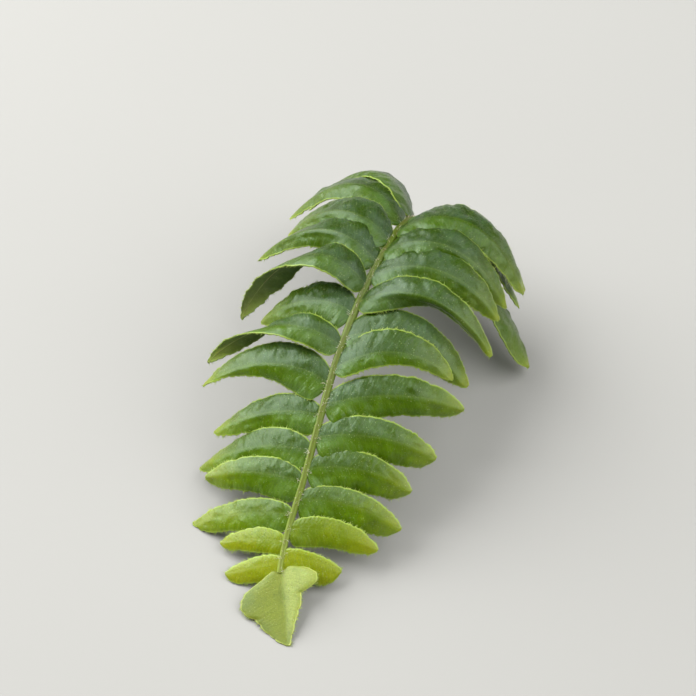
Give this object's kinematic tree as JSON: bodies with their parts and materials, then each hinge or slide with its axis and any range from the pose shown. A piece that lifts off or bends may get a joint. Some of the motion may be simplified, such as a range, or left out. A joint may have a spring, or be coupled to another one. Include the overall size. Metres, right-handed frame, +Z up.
{
  "type": "boston fern frond",
  "caption": "Arching Boston fern frond, picked and lying down: a thin stem with overlapping, wavy-edged leaflets along both sides and a lobed leaflet at the tip.",
  "frame": {"origin": "middle of the frond's bounding box, on the surface that the frond lies on", "axes": "+Z up, +Y along the stem towards its cut end, the frond's tip at -Y"},
  "size_m": [0.0618, 0.1093, 0.0323],
  "materials": {
    "leaf": "satin green leaf"
  },
  "bodies": {
    "root": {"frond": "leaf"}
  },
  "joints": []
}
